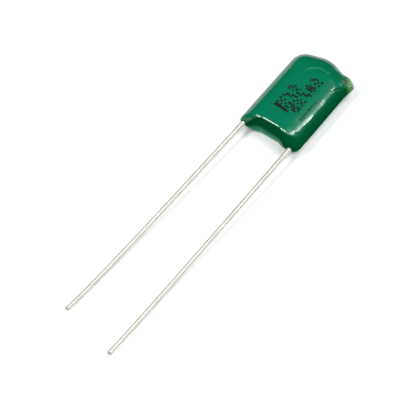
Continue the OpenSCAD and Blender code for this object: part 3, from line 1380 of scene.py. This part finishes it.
@dataclass(frozen=True)
class DotPrint:
    """Two rows of dot patterns along the upper face, with a bar before them and small ticks beside them."""

    dot: float = 0.29
    pitch: float = 0.27
    dots_across: int = 3
    dots_up: int = 5
    bar_dots: int = 7
    bar_y: float = -2.72
    first_y: float = -2.3
    cell: float = 1.02
    bar_width: float = 0.42
    row_tops: Pair = (-1.3, 0.05)
    rows: tuple[tuple[Motif, ...], ...] = (
        (Motif.CHECKER, Motif.STAIRS, Motif.SPRINKLE),
        (Motif.HATCH, Motif.CHECKER, Motif.STAIRS, Motif.LOZENGE, Motif.SPRINKLE),
    )
    tick_x: float = 2.0
    tick_from: float = -2.8
    tick_pitch: float = 0.25
    tick_count: int = 12
    tick_width: float = 0.12
    tick_heights: tuple[float, float, float] = (0.42, 0.24, 0.34)
    ink: float = 0.012
    spot_sides: int = 14
    seed: int = 11
    unevenness: float = 0.25
    stray: float = 0.035

    def marks(self) -> list[Mark]:
        """Lays out every spot of ink.

        Returns:
            The dots of both rows and the ticks.
        """
        bar_x = self.row_tops[0]
        spots = [
            Mark(bar_x + step * self.pitch, self.bar_y, self.dot, self.bar_width)
            for step in range(self.bar_dots)
        ]
        for top, motifs in zip(self.row_tops, self.rows):
            for place, motif in enumerate(motifs):
                for across in range(self.dots_across):
                    for up in range(self.dots_up):
                        if motif.inks(across, up):
                            y = self.first_y + place * self.cell + across * self.pitch
                            spots.append(Mark(top + up * self.pitch, y, self.dot, self.dot))
        for tick in range(self.tick_count):
            height = self.tick_heights[tick % len(self.tick_heights)]
            y = self.tick_from + tick * self.tick_pitch
            spots.append(Mark(self.tick_x, y, height, self.tick_width))
        return spots

    def build(self, coat: bpy.types.Object) -> bpy.types.Object:
        """Lays the ink on the coat's upper face.

        Args:
            coat: The finished coat that carries the print.

        Returns:
            The finished print.
        """
        surface = BVHTree.FromPolygons(
            [v.co for v in coat.data.vertices], [list(p.vertices) for p in coat.data.polygons]
        )
        above = Vector((0, 0, 2 * max(v.co.z for v in coat.data.vertices)))
        down = Vector((0, 0, -1))
        places, normals, sizes = [], [], []
        for mark in self.marks():
            found, normal, _, _ = surface.ray_cast(Vector((mark.x, mark.y, 0)) * MM + above, down)
            places.append(found)
            normals.append(normal)
            sizes.append(Vector((mark.length, mark.width, self.ink)) * MM)
        seed = bpy.data.meshes.new("print_places")
        seed.from_pydata(places, [], [])
        for name, values in (("facing", normals), ("size", sizes)):
            layer = seed.attributes.new(name, "FLOAT_VECTOR", "POINT")
            layer.data.foreach_set("vector", [c for value in values for c in value])
        piece = grown(
            "dot_print",
            seed,
            ink_tree(),
            {
                "Seed": self.seed,
                "Spot Sides": self.spot_sides,
                "Unevenness": self.unevenness,
                "Stray": self.stray * MM,
                "Ink": StampInk().material(),
            },
        )
        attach(piece, BODY)
        return piece


def ink_tree() -> bpy.types.NodeTree:
    """Makes the tree that lays a low and slightly uneven spot of ink at each point of the face.

    Returns:
        The tree.
    """
    tree, add, size = new_growth_tree(
        "ink_spots",
        {
            "Seed": "NodeSocketInt",
            "Spot Sides": "NodeSocketInt",
            "Unevenness": "NodeSocketFloat",
            "Stray": "NodeSocketFloat",
            "Ink": "NodeSocketMaterial",
        },
    )
    astray = add(
        "FunctionNodeRandomValue",
        {"Min": (-1.0, -1.0, 0.0), "Max": (1.0, 1.0, 0.0), "Seed": size["Seed"]},
        data_type="FLOAT_VECTOR",
    )
    offset = add("ShaderNodeVectorMath", {0: astray, "Scale": size["Stray"]}, operation="SCALE")
    strewn = add("GeometryNodeSetPosition", {"Geometry": size["Geometry"], "Offset": offset})
    # A spot one unit wide and high, which the size at each point scales.
    spot = add(
        "GeometryNodeMeshCylinder",
        {"Vertices": size["Spot Sides"], "Radius": 0.5, "Depth": 1.0},
        fill_type="TRIANGLE_FAN",
    )
    facing, extent = (
        add("GeometryNodeInputNamedAttribute", {"Name": layer}, data_type="FLOAT_VECTOR")
        for layer in ("facing", "size")
    )
    turned = add("FunctionNodeAlignRotationToVector", {"Vector": facing}, axis="Z")
    least, most = (
        add("ShaderNodeMath", {0: 1.0, 1: size["Unevenness"]}, operation=way) for way in ("SUBTRACT", "ADD")
    )
    uneven = add(
        "FunctionNodeRandomValue",
        {"Min": least, "Max": most, "Seed": size["Seed"]},
        data_type="FLOAT_VECTOR",
    )
    scale = add("ShaderNodeVectorMath", {0: extent, 1: uneven}, operation="MULTIPLY")
    spots = add(
        "GeometryNodeInstanceOnPoints",
        {"Points": strewn, "Instance": spot, "Rotation": turned, "Scale": scale},
    )
    whole = add("GeometryNodeRealizeInstances", {0: spots})
    inked = add("GeometryNodeSetMaterial", {"Geometry": whole, "Material": size["Ink"]})
    add("NodeGroupOutput", {0: inked})
    return tree


# The table, the lamps and the camera


def bearing(azimuth: float, elevation: float) -> Vector:
    """Gives the direction towards a place in the room.

    Args:
        azimuth: Degrees round from -Y towards +X.
        elevation: Degrees up from the table.

    Returns:
        A unit vector.
    """
    turn, lift = math.radians(azimuth), math.radians(elevation)
    return Vector((math.cos(lift) * math.sin(turn), -math.cos(lift) * math.cos(turn), math.sin(lift)))


@dataclass(frozen=True)
class Softbox:
    """An oval lamp that faces the object, as bright as its radiance says whatever its size."""

    name: str
    azimuth: float
    elevation: float
    width: float
    length: float
    radiance: float
    roll: float = 0.0
    distance: float = 600.0

    def build(self) -> None:
        """Hangs the lamp."""
        lamp = bpy.data.lights.new(self.name, "AREA")
        lamp.shape = "ELLIPSE"
        lamp.size = self.width * MM
        lamp.size_y = self.length * MM
        area = math.pi * lamp.size * lamp.size_y / 4
        lamp.energy = self.radiance * math.pi * area
        hung = bpy.data.objects.new(self.name, lamp)
        bpy.context.scene.collection.objects.link(hung)
        way = bearing(self.azimuth, self.elevation)
        turn = Quaternion((0, 0, 1), math.radians(self.roll))
        hung.location = way * self.distance * MM
        hung.rotation_euler = (way.to_track_quat("Z", "Y") @ turn).to_euler()


@dataclass(frozen=True)
class RoomGlow:
    """A soft patch of light in the dim room, brightest in its middle."""

    azimuth: float
    elevation: float
    reach: float
    strength: float


@dataclass(frozen=True)
class Studio:
    """A white table in a dim room with soft lamps and a faint glow, and a camera with a long lens."""

    table_radius: float = 3000.0
    table_drop: float = 0.01
    table_sides: int = 64
    room_light: float = 0.02
    glows: tuple[RoomGlow, ...] = (RoomGlow(azimuth=165.0, elevation=66.0, reach=22.0, strength=1.3),)
    lamps: tuple[Softbox, ...] = (
        Softbox("top_softbox", 135.0, 72.0, width=300.0, length=300.0, radiance=7.4),
        Softbox("front_softbox", -36.0, 59.0, width=140.0, length=410.0, radiance=11.5, roll=33.0),
        Softbox("back_softbox", 127.0, 53.0, width=105.0, length=105.0, radiance=20.0),
        Softbox("near_softbox", 45.0, 67.0, width=60.0, length=60.0, radiance=52.0),
    )
    azimuth: float = 37.0
    elevation: float = 60.5
    distance: float = 250.0
    near_clip: float = 25.0
    sensor: float = 36.0
    picture: int = 400
    focal_pixels: float = 2350.0
    anchor: tuple[float, float, float] = (0.0, -0.2, 1.65)
    anchor_pixel: Pair = (298.86, 101.77)

    def build(self) -> None:
        """Sets up the table, the room, the lamps and the camera."""
        self.lay_table()
        self.dim_room()
        for lamp in self.lamps:
            lamp.build()
        self.place_camera()
        bpy.context.scene.view_settings.view_transform = "Standard"

    def lay_table(self) -> None:
        """Lays a wide table top just under the object."""
        ring = []
        for side in range(self.table_sides):
            turn = math.tau * side / self.table_sides
            rim = Vector((math.cos(turn), math.sin(turn), 0)) * self.table_radius
            ring.append((rim - Vector((0, 0, self.table_drop))) * MM)
        mesh = bpy.data.meshes.new("table_top")
        mesh.from_pydata(ring, [], [list(range(self.table_sides))])
        table = new_object("table_top", mesh)
        dress(table, WhiteTable().material())

    def dim_room(self) -> None:
        """Fills the room with a little grey light and its soft glows."""
        world = bpy.data.worlds.new("studio_room")
        world.use_nodes = True
        add = partial(add_node, world.node_tree)
        way = add("ShaderNodeTexCoord").outputs["Generated"]
        light = self.room_light
        for glow in self.glows:
            middle = bearing(glow.azimuth, glow.elevation)
            near = add("ShaderNodeVectorMath", {0: way, 1: middle}, operation="DOT_PRODUCT")
            patch = add(
                "ShaderNodeMapRange",
                {"Value": near, "From Min": math.cos(math.radians(glow.reach)), "To Max": glow.strength},
                interpolation_type="SMOOTHSTEP",
            )
            light = add("ShaderNodeMath", {0: light, 1: patch}, operation="ADD")
        feed(world.node_tree.nodes["Background"], {"Color": to_linear(WHITE), "Strength": light})
        bpy.context.scene.world = world

    def place_camera(self) -> None:
        """Puts the camera where the anchor point falls on its pixel of the picture."""
        back = bearing(self.azimuth, self.elevation)
        right = Vector((0, 0, 1)).cross(back).normalized()
        up = back.cross(right)
        per_pixel = self.distance / self.focal_pixels
        across = (self.anchor_pixel[0] - self.picture / 2) * per_pixel
        above = (self.picture / 2 - self.anchor_pixel[1]) * per_pixel
        eye = Vector(self.anchor) + back * self.distance - right * across - up * above
        data = bpy.data.cameras.new("camera")
        data.sensor_width = self.sensor
        data.lens = self.focal_pixels / self.picture * self.sensor
        data.clip_start = self.near_clip * MM
        camera = bpy.data.objects.new("camera", data)
        bpy.context.scene.collection.objects.link(camera)
        turn = Matrix((right, up, back)).transposed().to_4x4()
        camera.matrix_world = Matrix.Translation(eye * MM) @ turn
        bpy.context.scene.camera = camera


def report(piece: bpy.types.Object) -> None:
    """Logs a finished piece and its number of faces."""
    LOG.info("%s: %d faces", piece.name, len(piece.data.polygons))


def main() -> None:
    """Builds the studio and the pieces in order."""
    logging.basicConfig(level=logging.INFO, format="%(name)s: %(message)s")
    Studio().build()
    roll = FilmRoll.from_frame()
    report(roll.dress())
    leads = (WireLead(Side.LEFT, roll, bow=0.2), WireLead(Side.RIGHT, roll, bow=0.1))
    for lead in leads:
        report(lead.build())
    coat = ResinCoat(roll, leads).build()
    report(coat)
    report(DotPrint().build(coat))


if __name__ == "__main__":
    main()
